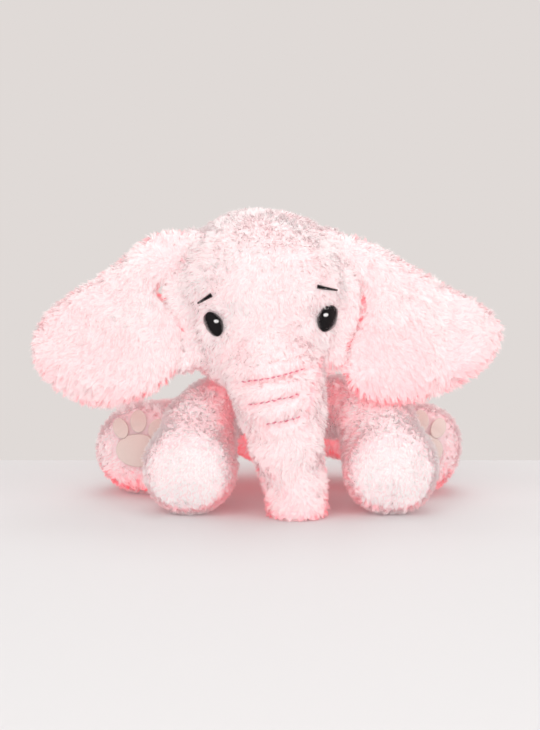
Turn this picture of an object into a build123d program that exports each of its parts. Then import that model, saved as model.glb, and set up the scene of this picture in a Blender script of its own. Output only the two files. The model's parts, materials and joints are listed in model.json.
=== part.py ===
"""A floppy plush elephant lying on its four spread legs.

Each soft part is a fabric skin round its own filling. Parts that flop are joined by a
padded ball that sits in a pocket of the part next to it, so they can turn without a gap.
X runs to the elephant's left, -Y is the way that it faces, and Z is up. Sizes are in mm.
"""
from build123d import *
import math
import os

# ---- fabric and fits ---------------------------------------------------------------------
SKIN = 2.5              # plush fabric, without its pile
FILL_GAP = 0.2          # play between a skin and what fills it
JOINT_GAP = 0.6         # play round the ball of a soft joint
EAR_GAP = 1.3           # play round an ear's root in its groove
SEAM_GAP = 0.1          # play between two panels, or under embroidery
THREAD = 1.1            # height of embroidery over the fabric
SATIN = 1.5             # height of a padded satin patch over the fabric
FLOOR = 0.0
STEP_IN = 0.3           # how far each length of a limb starts inside the one before
BUN_TUCK = 1.5          # how far the last length of a limb ends inside its bun
DOME = 4                # how far a sole bulges in the middle
ROOM = 900              # more than any part of the toy is long
SIDES = ("left", "right")

# ---- head --------------------------------------------------------------------------------
# Each egg is a centre and three half lengths
DOME_CENTRE, DOME_EGG = (-6, 42, 185), (72, 68, 60)
CHEEK_CENTRE, CHEEK_EGG = (-6, 38, 142), (60, 60, 50)
FACE_CENTRE, FACE_EGG = (-3, 26, 147), (59, 50, 53)

# The two sides of the face: X, Z, half width, half height, lean of the top outwards
EYES = {
    "left": dict(x=44.5, z=160, wide=8.5, high=11.0, lean=15),
    "right": dict(x=-43.5, z=156.5, wide=7.6, high=10.6, lean=-19),
}
HIGHLIGHTS = {
    "left": dict(x=42.9, z=162.5, radius=2.3),
    "right": dict(x=-41.0, z=158.8, radius=2.3),
}
BROWS = {
    "left": dict(x=43.6, z=184, length=16.5, high=3.0, slope=-15),
    "right": dict(x=-50.0, z=176.5, length=13.5, high=3.0, slope=36),
}

# ---- neck and torso ----------------------------------------------------------------------
NECK, NECK_R = (2, 92.5, 118), 34
TORSO_CENTRE, TORSO_EGG = (4, 132, 73), (58, 62, 57)
PELLETS_CENTRE, PELLETS_EGG = (8, 116, 44), (22, 28, 15)
BAG_CLOTH = 0.6
BELLY_SEAM_HALF = 24    # half the length of the hand-sewn closing seam under the belly
BELLY_SEAM_WIDTH = 3

# ---- trunk: stations are X, Y, Z, radius ---------------------------------------------------
TRUNK_UPPER = [(0, 14, 128, 42), (8, -3, 100, 37), (13, -8, 60, 29.5)]
TRUNK_LOWER = [(13, -8, 60, 29.5), (20, -5.5, 26, 24.5)]
TRUNK_FACING = (0.1, 0.05, -1)
TRUNK_DEPTH = 30        # from the last full section to past the floor
TRUNK_ROUND = 6
TRUNK_SPLIT_Z = 70
WRINKLES = [             # X, Z, length and slope of the three stitched folds
    dict(x=2.8, z=117, length=50, slope=13),
    dict(x=4.8, z=99.5, length=44, slope=13.5),
    dict(x=10.6, z=82.5, length=27, slope=14),
]
WRINKLE_HIGH = 2.4

# ---- ears: outlines as (distance out from the middle of the head, Z), root first -----------
EAR_THICK = 13
EAR_EDGE_ROUND = 5.8
EAR_ROOT_TOP = (58, 226)
EAR_ROOT_BOTTOM = (73, 190)
EAR_OUTLINES = {
    "left": [
        (71, 227), (92, 218), (134, 190), (175, 164), (192, 140), (184, 120), (160, 102),
        (130, 90), (98, 86), (73, 91), (59, 106), (58, 123), (64, 142), (74, 162),
    ],
    "right": [
        (72, 230), (90, 227), (115, 208), (160, 177), (182, 152), (187, 130), (172, 104),
        (146, 90), (121, 87), (97, 92), (74, 106), (60, 125), (59, 144), (68, 164), (81, 179),
    ],
}
EAR_Y = 27
EAR_SWEEP = 12          # degrees that the tip lies back from the root
EAR_LEAN = 10           # degrees that the bottom hangs forwards
EAR_ROLL = {"left": 3, "right": -1}

# ---- legs: stations are X, Y, Z, radius ----------------------------------------------------
PAW_R = 38
PAW_ROUND = 15
SHOULDER_R = 27
FRONT_LEGS = {
    "left": dict(
        stations=[(53, 88, 74, SHOULDER_R), (68, 64, 78, 25), (80, 44, 74, 26), (96.8, 18, 37.5, PAW_R)],
        facing=(0.12, -1, -0.04)),
    "right": dict(
        stations=[(-35, 88, 74, SHOULDER_R), (-46, 64, 79, 24.5), (-52, 44, 76, 25.5), (-63.4, 18, 37.5, PAW_R)],
        facing=(-0.15, -1, -0.04)),
}
FRONT_DEPTH = 32        # from the paw's last full ball to its sole
FRONT_PAD = dict(wide=30, high=25.5, drop=5, behind=2)
HIP_R = 30
HIND_LEGS = {
    "left": dict(
        stations=[(58, 150, 50, HIP_R), (86, 134, 44, 31), (122.6, 107, 37.5, PAW_R)],
        facing=(0.10, -1, 0)),
    "right": dict(
        stations=[(-42, 150, 50, HIP_R), (-70, 133, 44, 31), (-106.6, 106, 37.5, PAW_R)],
        facing=(-0.10, -1, 0)),
}
HIND_DEPTH = 33
SOLE_PAD = dict(wide=19, high=14, z=40)
TOES = [                 # offset from the middle of the sole, Z, half width, half height, lean
    dict(out=-15, z=58, wide=6.5, high=8.5, lean=-22),
    dict(out=0, z=64, wide=7, high=9, lean=0),
    dict(out=15, z=58, wide=6.5, high=8.5, lean=22),
]

# ---- tail --------------------------------------------------------------------------------
TAIL = [(8, 197.5, 92, 6.5), (8, 203.5, 82, 5.8), (8, 206.5, 66, 5.2), (8, 207, 42, 4.5)]
TUFT_CENTRE, TUFT_EGG = (8, 207, 32), (8, 8, 14)

# ---- how far the limbs that sit in pockets turn, degrees from rest -------------------------
RANGES = {
    "trunk_lift": (0, 35),
    "trunk_curl": (0, 21),
    "front_splay": (-3, 9),
    "hind_splay": (-2, 25),
}
FORWARD = (-1, 0, 0)     # a turn about this line swings a hanging part forwards and up


# ---- shapes --------------------------------------------------------------------------------
def ball(centre, radius):
    return Pos(*centre) * Sphere(radius)


def egg(centre, semi, inset=0.0):
    """An ellipsoid, made smaller all round by inset."""
    return Pos(*centre) * scale(Sphere(1), by=tuple(half - inset for half in semi))


def link(start, end, start_r, end_r):
    """The hull of two balls: a round-ended cone, turned about the line between them."""
    start, end = Vector(start), Vector(end)
    length = (end - start).length
    tilt = math.asin((start_r - end_r) / length)
    foot = (start_r * math.sin(tilt), start_r * math.cos(tilt))
    head = (length + end_r * math.sin(tilt), end_r * math.cos(tilt))
    half = math.pi / 4
    round_start = (-start_r * math.cos(half), start_r * math.sin(half))
    round_end = (length + end_r * math.cos(half), end_r * math.sin(half))
    outline = ThreePointArc((-start_r, 0), round_start, foot)
    outline += Line(foot, head)
    outline += ThreePointArc(head, round_end, (length + end_r, 0))
    outline += Line((length + end_r, 0), (-start_r, 0))
    solid = revolve(make_face(outline), Axis.X, 360)
    return Plane(origin=start, x_dir=end - start, z_dir=square_to(end - start)) * solid


def square_to(direction):
    """A unit vector at right angles to a direction."""
    other = Vector(0, 0, 1) if abs(direction.normalized().Z) < 0.9 else Vector(1, 0, 0)
    return direction.cross(other).normalized()


def tube(stations, grow=0.0):
    """A limb: round-ended cones from station to station, each a little inside the last."""
    form = None
    for start, end in zip(stations, stations[1:]):
        start_r = start[3] + grow - (STEP_IN if form else 0)
        piece = link(start[:3], end[:3], start_r, end[3] + grow)
        form = piece if form is None else form + piece
    return form


def bun(last, facing, depth, edge, inset):
    """The end of a limb: round at the back, then straight, with a round edge and a low domed sole."""
    radius = last[3] - inset
    edge -= inset
    depth -= inset
    half = math.sqrt(0.5)
    outline = ThreePointArc((-radius, 0), (-radius * half, radius * half), (0, radius))
    outline += Line((0, radius), (depth - edge, radius))
    corner = (depth - edge + edge * half, radius - edge + edge * half)
    outline += ThreePointArc((depth - edge, radius), corner, (depth, radius - edge))
    base = radius - edge
    sphere = (base ** 2 + DOME ** 2) / (2 * DOME)
    turn = math.asin(base / sphere) / 2
    crown = (depth + DOME - sphere + sphere * math.cos(turn), sphere * math.sin(turn))
    outline += ThreePointArc((depth, base), crown, (depth + DOME, 0))
    outline += Line((depth + DOME, 0), (-radius, 0))
    solid = revolve(make_face(outline), Axis.X, 360)
    facing = Vector(*facing)
    return Plane(origin=last[:3], x_dir=facing, z_dir=square_to(facing)) * solid


def limb(stations, facing, depth, edge, inset):
    """A limb with a bun at its end, standing on the floor."""
    last = stations[-1]
    tucked = stations[:-1] + [last[:3] + (last[3] - BUN_TUCK,)]
    form = tube(tucked, -inset) + bun(last, facing, depth, edge, inset)
    return form & above(FLOOR + inset)


def above(z):
    """Everything over height z."""
    return Pos(0, 0, z + ROOM / 2) * Box(ROOM, ROOM, ROOM)


def pockets(stations, axis, limits, room):
    """Room for a limb that turns on the ball at its root, at several angles of its range."""
    line = Axis(origin=stations[0][:3], direction=axis)
    shapes = []
    for index, angle in enumerate(fan(limits)):
        shapes.append(tube(stations, room + index * STEP_IN).rotate(line, angle))
    return shapes


def fan(limits, steps=3):
    """Angles spread evenly over a joint's range."""
    low, high = limits
    return [low + (high - low) * step / (steps - 1) for step in range(steps)]


def shell(form):
    """Split a form function into its skin and its filling."""
    return form(0) - form(SKIN), form(SKIN + FILL_GAP)


def largest(shape):
    """The biggest solid of a result that may carry crumbs."""
    return max(shape.solids(), key=lambda solid: solid.volume)


# ---- forms: each is the outer shape of a soft part, made smaller all round by inset --------
def trunk_upper_form(inset):
    return tube(TRUNK_UPPER, -inset) & above(TRUNK_SPLIT_Z + inset)


def trunk_lower_form(inset):
    return limb(TRUNK_LOWER, TRUNK_FACING, TRUNK_DEPTH, TRUNK_ROUND, inset)


def leg_form(leg, depth, inset):
    return limb(leg["stations"], leg["facing"], depth, PAW_ROUND, inset)


def front_leg_form(side, inset):
    return leg_form(FRONT_LEGS[side], FRONT_DEPTH, inset)


def hind_leg_form(side, inset):
    return leg_form(HIND_LEGS[side], HIND_DEPTH, inset)


def ear_axis(side):
    """The line that an ear flaps about: its top and its bottom."""
    plane = ear_plane(side)
    top = plane.from_local_coords(ear_point(*EAR_ROOT_TOP))
    bottom = plane.from_local_coords(ear_point(*EAR_ROOT_BOTTOM))
    return top, bottom


def ear_point(out, z):
    """A point of the ear's outline in the ear's own plane."""
    middle_out = (EAR_ROOT_TOP[0] + EAR_ROOT_BOTTOM[0]) / 2
    middle_z = (EAR_ROOT_TOP[1] + EAR_ROOT_BOTTOM[1]) / 2
    across = (out - middle_out) / math.cos(math.radians(EAR_SWEEP))
    up = (z - middle_z) / math.cos(math.radians(EAR_LEAN))
    return Vector(across, up, 0)


def ear_plane(side):
    """The ear's middle plane: local X runs out, local Y up, local Z to the back."""
    sign = 1 if side == "left" else -1
    sweep = math.radians(EAR_SWEEP)
    lean = math.radians(EAR_LEAN)
    roll = math.radians(EAR_ROLL[side])
    out = Vector(sign * math.cos(sweep) * math.cos(roll), math.sin(sweep), math.cos(sweep) * math.sin(roll))
    up = Vector(-sign * math.sin(roll) * math.cos(lean), math.sin(lean), math.cos(lean) * math.cos(roll))
    normal = out.cross(up)
    middle_out = (EAR_ROOT_TOP[0] + EAR_ROOT_BOTTOM[0]) / 2
    middle_z = (EAR_ROOT_TOP[1] + EAR_ROOT_BOTTOM[1]) / 2
    origin = (DOME_CENTRE[0] + sign * middle_out, EAR_Y, middle_z)
    return Plane(origin=origin, x_dir=out, z_dir=normal)


def drawn_in(points, inset):
    """Points of a clockwise outline, each moved square to the outline towards its inside."""
    moved = []
    for index in range(1, len(points) - 1):
        along = (points[index + 1] - points[index - 1]).normalized()
        moved.append(points[index] + Vector(along.Y, -along.X, 0) * inset)
    return moved


def ear_form(side, inset):
    """A flat pad with a round edge, whose straight root lies along the flap axis."""
    half = EAR_THICK / 2
    top = ear_point(*EAR_ROOT_TOP)
    bottom = ear_point(*EAR_ROOT_BOTTOM)
    along = (bottom - top).normalized()
    inward = Vector(along.Y, -along.X, 0) * (half - inset)
    root_top = top + inward + along * inset
    root_bottom = bottom + inward - along * inset
    rim = [ear_point(out, z) for out, z in EAR_OUTLINES[side]]
    rim = drawn_in([top + inward] + rim + [bottom + inward], inset)
    outline = Spline([root_top] + rim + [root_bottom])
    face = make_face(outline + Line(root_bottom, root_top))
    face = fillet(face.vertices(), half - 1 - inset)
    pad = extrude(face, half - inset, both=True)
    sides = pad.faces().sort_by(Axis.Z)
    rims = sides[0].edges() + sides[-1].edges()
    pad = fillet(rims, EAR_EDGE_ROUND - inset)
    return ear_plane(side) * pad


def ear_groove(side, inset):
    """Room in the head for an ear's root."""
    top, bottom = ear_axis(side)
    radius = EAR_THICK / 2 + EAR_GAP + inset
    return link(top, bottom, radius, radius)


def head_shape(inset):
    """The head with nothing cut from it."""
    shape = egg(DOME_CENTRE, DOME_EGG, inset)
    shape += egg(CHEEK_CENTRE, CHEEK_EGG, inset)
    shape += egg(FACE_CENTRE, FACE_EGG, inset)
    return shape


def head_form(inset):
    form = head_shape(inset)
    room = JOINT_GAP + inset
    form -= ball(NECK, NECK_R + room)
    for pocket in pockets(TRUNK_UPPER, FORWARD, RANGES["trunk_lift"], room):
        form -= pocket
    for side in SIDES:
        form -= ear_groove(side, inset)
    return largest(form)


def splay_axis(side):
    """A turn about this line swings a leg outwards."""
    return (0, 0, 1) if side == "left" else (0, 0, -1)


def torso_form(inset):
    form = egg(TORSO_CENTRE, TORSO_EGG, inset) + ball(NECK, NECK_R - inset)
    room = JOINT_GAP + inset
    for legs, splay in ((FRONT_LEGS, "front_splay"), (HIND_LEGS, "hind_splay")):
        for side, leg in legs.items():
            for pocket in pockets(leg["stations"][:2], splay_axis(side), RANGES[splay], room):
                form -= pocket
    form -= ball(TAIL[0][:3], TAIL[0][3] + room)
    return largest(form)


# ---- pieces --------------------------------------------------------------------------------
def on_surface(shape, height, outline):
    """A raised patch on a soft shape, inside an outline that runs through it."""
    return (shape(-height) - shape(-SEAM_GAP)) & outline


def front_prism(sketch, x, z, back):
    """A sketch drawn as seen from the front, run from far in front back to Y = back."""
    plane = Plane(origin=(x, back, z), x_dir=(1, 0, 0), z_dir=(0, -1, 0))
    return plane * extrude(sketch, ROOM / 2)


def face_pieces():
    pieces = {}
    for side, eye in EYES.items():
        oval = Rot(0, 0, -eye["lean"]) * Ellipse(eye["wide"], eye["high"])
        light = HIGHLIGHTS[side]
        spot = Pos(light["x"] - eye["x"], light["z"] - eye["z"]) * Circle(light["radius"])
        ring = oval - Pos(light["x"] - eye["x"], light["z"] - eye["z"]) * Circle(light["radius"] + SEAM_GAP)
        back = FACE_CENTRE[1]
        pieces[f"eye_{side}"] = on_surface(head_shape, THREAD, front_prism(ring, eye["x"], eye["z"], back))
        pieces[f"eye_highlight_{side}"] = on_surface(
            head_shape, THREAD, front_prism(spot, eye["x"], eye["z"], back))
        brow = BROWS[side]
        bar = Rot(0, 0, brow["slope"]) * SlotOverall(brow["length"], brow["high"])
        pieces[f"brow_{side}"] = on_surface(head_shape, THREAD, front_prism(bar, brow["x"], brow["z"], back))
    return pieces


def trunk_upper_part(inset):
    """The upper trunk with room for the lower one to curl."""
    form = trunk_upper_form(inset)
    for pocket in pockets(TRUNK_LOWER, FORWARD, RANGES["trunk_curl"], JOINT_GAP + inset):
        form -= pocket
    return largest(form)


def trunk_pieces():
    pieces = {}
    pieces["trunk_upper_skin"], pieces["trunk_upper_stuffing"] = shell(trunk_upper_part)
    pieces["trunk_lower_skin"], pieces["trunk_lower_stuffing"] = shell(trunk_lower_form)
    stitches = Part()
    for fold in WRINKLES:
        bar = Rot(0, 0, fold["slope"]) * SlotOverall(fold["length"], WRINKLE_HIGH)
        prism = front_prism(bar, fold["x"], fold["z"], TRUNK_UPPER[0][1])
        stitches += on_surface(lambda inset: tube(TRUNK_UPPER, -inset), THREAD, prism)
    pieces["trunk_wrinkle_stitches"] = stitches
    return pieces


def ear_pieces(side):
    outer, inner = ear_form(side, 0), ear_form(side, SKIN)
    halves = {}
    for name, sign in (("front", -1), ("back", 1)):
        half_space = ear_plane(side) * Pos(0, 0, sign * ROOM / 2) * Box(ROOM, ROOM, ROOM)
        halves[name] = (outer & half_space) - inner
    if ear_plane(side).z_dir.Y < 0:
        halves["front"], halves["back"] = halves["back"], halves["front"]
    return {
        f"ear_{side}_front_panel": halves["front"],
        f"ear_{side}_back_panel": halves["back"],
        f"ear_{side}_batting": ear_form(side, SKIN + FILL_GAP),
    }


def front_leg_pieces(side):
    outer, inner = front_leg_form(side, 0), front_leg_form(side, SKIN)
    leg = FRONT_LEGS[side]
    last = leg["stations"][-1]
    x = last[0] + leg["facing"][0] * FRONT_DEPTH
    z = last[2] - FRONT_PAD["drop"]
    back = last[1] - FRONT_PAD["behind"]
    pad_prism = front_prism(Ellipse(FRONT_PAD["wide"], FRONT_PAD["high"]), x, z, back)
    hole = Ellipse(FRONT_PAD["wide"] + SEAM_GAP, FRONT_PAD["high"] + SEAM_GAP)
    hole_prism = front_prism(hole, x, z, back)
    return {
        f"front_leg_{side}_skin": largest((outer - inner) - hole_prism),
        f"paw_pad_{side}": largest((outer & pad_prism) - inner),
        f"front_leg_{side}_stuffing": front_leg_form(side, SKIN + FILL_GAP),
    }


def toe_sketch(toe, grow=0.0):
    oval = Ellipse(toe["wide"] + grow, toe["high"] + grow)
    return Pos(toe["out"], toe["z"]) * Rot(0, 0, -toe["lean"]) * oval


def hind_leg_pieces(side):
    def form(inset):
        return hind_leg_form(side, inset)

    skin, stuffing = shell(form)
    leg = HIND_LEGS[side]
    last = leg["stations"][-1]
    middle = last[0] + leg["facing"][0] * HIND_DEPTH
    toes = Part()
    pad = Pos(0, SOLE_PAD["z"]) * Ellipse(SOLE_PAD["wide"], SOLE_PAD["high"])
    for toe in TOES:
        toes += on_surface(form, SATIN, front_prism(toe_sketch(toe), middle, 0, last[1]))
        pad -= toe_sketch(toe, SEAM_GAP)
    sole = on_surface(form, SATIN, front_prism(pad, middle, 0, last[1]))
    return {
        f"hind_leg_{side}_skin": skin,
        f"hind_leg_{side}_stuffing": stuffing,
        f"sole_pad_{side}": largest(sole),
        f"toe_pads_{side}": toes,
    }


def torso_pieces():
    skin, stuffing = shell(torso_form)
    bag = egg(PELLETS_CENTRE, PELLETS_EGG)
    below = Pos(*TORSO_CENTRE) * Pos(0, 0, -ROOM / 2)
    seam_box = below * Box(BELLY_SEAM_WIDTH, 2 * BELLY_SEAM_HALF, ROOM)
    return {
        "torso_skin": skin,
        "torso_stuffing": stuffing - egg(PELLETS_CENTRE, PELLETS_EGG, -FILL_GAP),
        "pellet_bag": bag - egg(PELLETS_CENTRE, PELLETS_EGG, BAG_CLOTH),
        "pellets": egg(PELLETS_CENTRE, PELLETS_EGG, BAG_CLOTH + FILL_GAP),
        "closing_seam_stitches": on_surface(
            lambda inset: egg(TORSO_CENTRE, TORSO_EGG, inset), THREAD, seam_box),
    }


def tail_pieces():
    tuft = egg(TUFT_CENTRE, TUFT_EGG)
    tail = tube(TAIL)
    return {
        "tail_tube": tail - egg(TUFT_CENTRE, TUFT_EGG, -SEAM_GAP),
        "tail_tuft": tuft,
    }


def all_pieces():
    pieces = {}
    pieces["head_skin"], pieces["head_stuffing"] = shell(head_form)
    pieces.update(face_pieces())
    pieces.update(trunk_pieces())
    pieces.update(torso_pieces())
    pieces.update(tail_pieces())
    for side in SIDES:
        pieces.update(ear_pieces(side))
        pieces.update(front_leg_pieces(side))
        pieces.update(hind_leg_pieces(side))
    return pieces


def joint_places():
    """Each joint's pivot and the line that it turns about."""
    places = {
        "head_nod": (NECK, FORWARD),
        "trunk_lift": (TRUNK_UPPER[0][:3], FORWARD),
        "trunk_curl": (TRUNK_LOWER[0][:3], FORWARD),
        "tail_wag": (TAIL[0][:3], (0, 1, 0)),
    }
    for side in SIDES:
        top, bottom = ear_axis(side)
        line = bottom - top if side == "left" else top - bottom
        places[f"ear_{side}_flap"] = ((top + bottom) / 2, line.normalized())
        places[f"front_leg_{side}_splay"] = (FRONT_LEGS[side]["stations"][0][:3], splay_axis(side))
        places[f"hind_leg_{side}_splay"] = (HIND_LEGS[side]["stations"][0][:3], splay_axis(side))
    return places


def main():
    pieces = all_pieces()
    box = Compound(children=[Part() + piece for piece in pieces.values()]).bounding_box()
    shift = Vector(-(box.min.X + box.max.X) / 2, -(box.min.Y + box.max.Y) / 2, -box.min.Z)
    os.makedirs("parts", exist_ok=True)
    for name, piece in pieces.items():
        export_step(Pos(*shift) * piece, f"parts/{name}.step")
    print("box", *[round(length, 2) for length in box.size])
    print("shift", *[round(length, 4) for length in shift])
    for name, (pivot, line) in joint_places().items():
        place = [round(value / 1000, 6) for value in Vector(pivot) + shift]
        print("joint", name, *place, *[round(value, 6) for value in Vector(line)])


if __name__ == "__main__":
    main()
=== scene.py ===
"""The looks of a floppy plush elephant: its skins, pile, embroidery, satin pads, light and camera.

Every piece starts from the CAD frame, so its place and size come from there. Lengths are in
metres. +X is the elephant's left, -Y is the way that it faces, and Z is up.
"""
import json
import math
import bmesh
import bpy
import numpy as np
from mathutils import Matrix, Vector
from mathutils.bvhtree import BVHTree


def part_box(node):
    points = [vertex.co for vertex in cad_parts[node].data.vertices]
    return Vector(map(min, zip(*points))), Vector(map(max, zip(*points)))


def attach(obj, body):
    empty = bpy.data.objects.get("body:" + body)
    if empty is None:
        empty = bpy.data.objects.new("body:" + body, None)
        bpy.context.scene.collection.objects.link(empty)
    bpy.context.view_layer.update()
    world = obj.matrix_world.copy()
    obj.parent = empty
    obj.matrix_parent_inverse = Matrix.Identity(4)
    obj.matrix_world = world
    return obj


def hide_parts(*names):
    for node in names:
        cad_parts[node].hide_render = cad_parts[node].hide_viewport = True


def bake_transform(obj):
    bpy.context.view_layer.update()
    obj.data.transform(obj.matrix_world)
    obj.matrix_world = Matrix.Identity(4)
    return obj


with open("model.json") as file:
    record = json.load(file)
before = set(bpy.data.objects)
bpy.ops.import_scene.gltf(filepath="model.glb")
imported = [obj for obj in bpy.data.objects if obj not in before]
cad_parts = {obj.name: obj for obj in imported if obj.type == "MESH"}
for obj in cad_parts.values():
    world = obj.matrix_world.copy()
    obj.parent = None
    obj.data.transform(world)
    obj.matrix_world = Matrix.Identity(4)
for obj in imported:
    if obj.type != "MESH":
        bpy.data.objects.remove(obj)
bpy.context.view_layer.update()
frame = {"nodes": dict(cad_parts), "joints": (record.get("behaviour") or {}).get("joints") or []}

MM = 0.001
SIDES = ("left", "right")
SKIN_INSET = 3.4 * MM        # the most that a woven base lies inside the CAD surface, to leave room for pile
FLOOR_CLEAR = 0.3 * MM       # nothing of the pile is lower than this
REACH = 60 * MM              # how far a ray looks for what covers or shades a tuft


def new_object(name, data):
    thing = bpy.data.objects.new(name, data)
    bpy.context.scene.collection.objects.link(thing)
    return thing


# ---- camera, floor and light -------------------------------------------------------------------
CAMERA_AIM = Vector((0.0013, -0.087, 0.122))
CAMERA_DISTANCE = 1.8
CAMERA_ELEVATION = 8.0
CAMERA_LENS = 111.0
SENSOR = 36.0
FLOOR_HALF = 6.0
TABLE_BACK = 0.156           # where the white table ends behind the toy
BACKDROP_Z = -1 * MM         # just under the table, so that the table hides it
WALL_COLOUR = (0.745, 0.701, 0.680)
TABLE_COLOUR = (0.715, 0.72, 0.73)
LIGHTS = (                   # name, place, what it points at, width and watts
    ("key", (-0.9, -1.5, 1.7), (0, 0, 0.1), 1.2, 8.6),
    ("fill", (1.3, -1.2, 1.0), (0, 0, 0.1), 1.4, 7.7),
    ("front", (-0.25, -2.4, 0.55), (0, 0, 0.08), 1.3, 14.3),
    ("top", (0.1, 0.5, 1.8), (0, 0.05, 0.1), 1.4, 9.0),
)


def make_camera():
    """A long lens in front of the toy, a little above it."""
    data = bpy.data.cameras.new("camera")
    data.lens = CAMERA_LENS
    data.sensor_width = SENSOR
    data.clip_end = 60
    camera = new_object("camera", data)
    lift = math.radians(CAMERA_ELEVATION)
    back = Vector((0, -math.cos(lift), math.sin(lift)))
    camera.location = CAMERA_AIM + back * CAMERA_DISTANCE
    camera.rotation_euler = (-back).to_track_quat("-Z", "Y").to_euler()
    bpy.context.scene.camera = camera


def area_light(name, place, aim, size, watts):
    data = bpy.data.lights.new(name, "AREA")
    data.size = size
    data.energy = watts
    light = new_object(name, data)
    light.location = place
    light.rotation_euler = (Vector(aim) - Vector(place)).to_track_quat("-Z", "Y").to_euler()


def glowing_material(name, colour):
    """A surface that looks the same colour from everywhere."""
    material, _, shader = principled(name)
    shader.inputs["Base Color"].default_value = (0, 0, 0, 1)
    shader.inputs["Specular IOR Level"].default_value = 0
    shader.inputs["Emission Color"].default_value = (*colour, 1)
    shader.inputs["Emission Strength"].default_value = 1
    return material


def flat_stage(name, low, high, height, material):
    """A level sheet between two (X, Y) corners that isn't part of the toy."""
    mesh = bpy.data.meshes.new(name)
    corners = [(low[0], low[1]), (high[0], low[1]), (high[0], high[1]), (low[0], high[1])]
    mesh.from_pydata([(x, y, height) for x, y in corners], [], [(0, 1, 2, 3)])
    mesh.materials.append(material)
    sheet = new_object(name, mesh)


def make_stage():
    """A white table in front of a pale wall, under soft studio lights."""
    table = plain_material("table", TABLE_COLOUR, roughness=0.6)
    flat_stage("table", (-FLOOR_HALF, -FLOOR_HALF), (FLOOR_HALF, TABLE_BACK), 0, table)
    backdrop = glowing_material("backdrop", WALL_COLOUR)
    flat_stage("backdrop", (-FLOOR_HALF, TABLE_BACK), (FLOOR_HALF, FLOOR_HALF), BACKDROP_Z, backdrop)
    world = bpy.data.worlds.new("studio")
    world.use_nodes = True
    background = world.node_tree.nodes["Background"]
    background.inputs["Color"].default_value = (*WALL_COLOUR, 1)
    background.inputs["Strength"].default_value = 1
    bpy.context.scene.world = world
    for light in LIGHTS:
        area_light(*light)
    bpy.context.scene.view_settings.view_transform = "Standard"


# ---- materials -----------------------------------------------------------------------------------
def principled(name):
    material = bpy.data.materials.new(name)
    material.use_nodes = True
    return material, material.node_tree, material.node_tree.nodes["Principled BSDF"]


def plain_material(name, colour, roughness=0.9, sheen=0.0):
    material, _, shader = principled(name)
    shader.inputs["Base Color"].default_value = (*colour, 1)
    shader.inputs["Roughness"].default_value = roughness
    shader.inputs["Specular IOR Level"].default_value = 0.2
    shader.inputs["Sheen Weight"].default_value = sheen
    shader.inputs["Sheen Tint"].default_value = (*colour, 1)
    return material


def cloth_material(name, dark, light, grain, roughness=0.9, bump=0.3, stretch=(1, 1, 1)):
    """A fabric whose colour and relief come from noise about grain metres across."""
    material, tree, shader = principled(name)
    nodes, links = tree.nodes, tree.links
    place = nodes.new("ShaderNodeTexCoord")
    scaled = nodes.new("ShaderNodeMapping")
    scaled.inputs["Scale"].default_value = stretch
    speckle = nodes.new("ShaderNodeTexNoise")
    speckle.inputs["Scale"].default_value = 1 / grain
    speckle.inputs["Detail"].default_value = 5
    ramp = nodes.new("ShaderNodeValToRGB")
    ramp.color_ramp.elements[0].position = 0.35
    ramp.color_ramp.elements[0].color = (*dark, 1)
    ramp.color_ramp.elements[1].position = 0.65
    ramp.color_ramp.elements[1].color = (*light, 1)
    relief = nodes.new("ShaderNodeBump")
    relief.inputs["Strength"].default_value = bump
    relief.inputs["Distance"].default_value = grain
    links.new(place.outputs["Object"], scaled.inputs["Vector"])
    links.new(scaled.outputs["Vector"], speckle.inputs["Vector"])
    links.new(speckle.outputs["Fac"], ramp.inputs["Fac"])
    links.new(ramp.outputs["Color"], shader.inputs["Base Color"])
    links.new(speckle.outputs["Fac"], relief.inputs["Height"])
    links.new(relief.outputs["Normal"], shader.inputs["Normal"])
    shader.inputs["Roughness"].default_value = roughness
    shader.inputs["Specular IOR Level"].default_value = 0.2
    return material


PILE_TONES = [               # from the whitest tips down to the deep pink at the roots and in painted shade
    (0.945, 0.940, 0.935),
    (0.952, 0.912, 0.915),
    (0.962, 0.872, 0.882),
    (0.972, 0.812, 0.832),
    (0.978, 0.735, 0.768),
    (0.968, 0.645, 0.690),
    (0.945, 0.515, 0.570),
    (0.905, 0.370, 0.425),
]
PALE_PAINTED_GLOW = (0.150, 0.125, 0.128)     # painted glow of the palest pile, in place of light that the white filling passes on
DEEP_PAINTED_GLOW = (0.55, 0.088, 0.100)      # and painted glow of the deepest


def pile_material(index, tone):
    material = plain_material(f"pile_{index}", tone, roughness=1.0, sheen=0.8)
    # Painted glow: every pile tone gives off light of its own, the deeper tones more.
    share = index / (len(PILE_TONES) - 1)
    painted_glow = [pale + (deep - pale) * share for pale, deep in zip(PALE_PAINTED_GLOW, DEEP_PAINTED_GLOW)]
    shader = material.node_tree.nodes["Principled BSDF"]
    shader.inputs["Emission Color"].default_value = (*painted_glow, 1)
    shader.inputs["Emission Strength"].default_value = 1
    return material


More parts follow.
